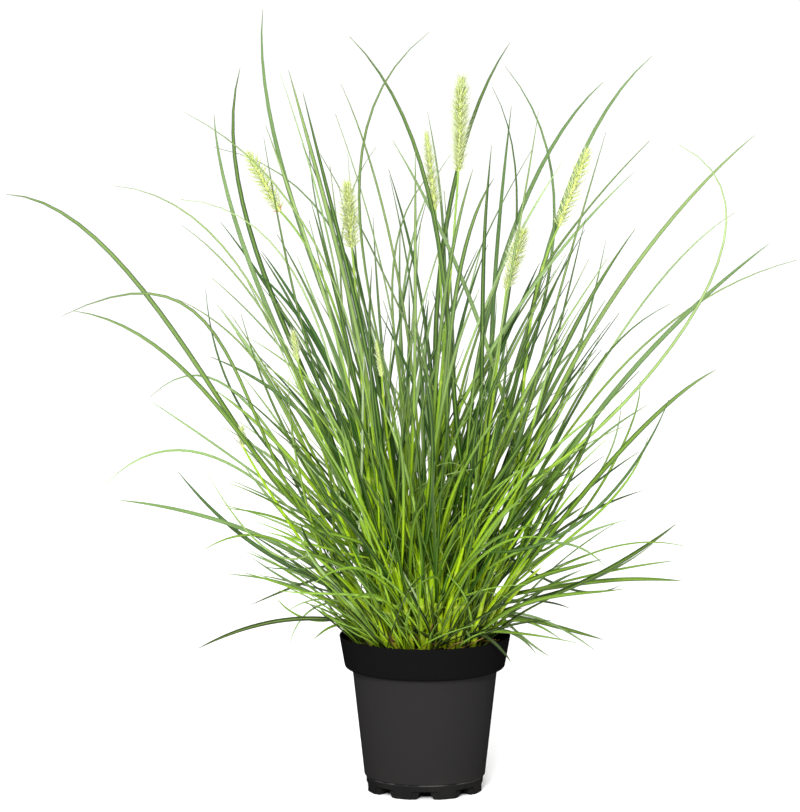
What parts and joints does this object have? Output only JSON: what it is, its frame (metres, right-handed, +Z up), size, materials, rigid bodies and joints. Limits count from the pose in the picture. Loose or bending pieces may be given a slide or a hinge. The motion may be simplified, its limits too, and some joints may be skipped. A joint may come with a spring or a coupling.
{
  "type": "potted fountain grass",
  "caption": "Tussock of narrow arching grass blades with soft bottlebrush flower heads, standing in compost in a tapered black nursery pot.",
  "frame": {"origin": "centre of the pot's underside, on the flat pad in the middle of its foot and on the surface that the pot stands on", "axes": "+Z up, the front as pictured faces -Y, and +X is to the right seen from the front"},
  "size_m": [0.7913, 0.5752, 0.7832],
  "materials": {
    "pot_plastic": "satin",
    "compost": "matte",
    "green_stem": "satin",
    "flower_head": "matte",
    "grass_leaf": "satin"
  },
  "bodies": {
    "root": {"pot": "pot_plastic", "soil": "compost", "culm_a": "green_stem", "culm_b": "green_stem", "culm_c": "green_stem", "culm_d": "green_stem", "culm_e": "green_stem", "culm_f": "green_stem", "culm_g": "green_stem", "culm_h": "green_stem", "culm_i": "green_stem", "head_a": "flower_head", "head_b": "flower_head", "head_c": "flower_head", "head_d": "flower_head", "head_e": "flower_head", "head_f": "flower_head", "head_g": "flower_head", "head_h": "flower_head", "head_i": "flower_head", "tiller_01": "grass_leaf", "tiller_02": "grass_leaf", "tiller_03": "grass_leaf", "tiller_04": "grass_leaf", "tiller_05": "grass_leaf", "tiller_06": "grass_leaf", "tiller_07": "grass_leaf", "tiller_08": "grass_leaf", "tiller_09": "grass_leaf", "tiller_10": "grass_leaf", "tiller_11": "grass_leaf", "tiller_12": "grass_leaf", "tiller_13": "grass_leaf", "tiller_14": "grass_leaf", "tiller_16": "grass_leaf", "tiller_17": "grass_leaf", "tiller_18": "grass_leaf", "tiller_19": "grass_leaf", "tiller_20": "grass_leaf", "tiller_21": "grass_leaf", "tiller_22": "grass_leaf", "tiller_23": "grass_leaf", "tiller_24": "grass_leaf", "tiller_25": "grass_leaf", "tiller_26": "grass_leaf", "tiller_27": "grass_leaf", "tiller_28": "grass_leaf", "tiller_29": "grass_leaf", "tiller_30": "grass_leaf", "tiller_31": "grass_leaf", "tiller_32": "grass_leaf", "tiller_33": "grass_leaf", "tiller_34": "grass_leaf", "tiller_35": "grass_leaf", "tiller_36": "grass_leaf", "tiller_37": "grass_leaf", "tiller_38": "grass_leaf", "tiller_39": "grass_leaf", "tiller_40": "grass_leaf"}
  },
  "joints": []
}
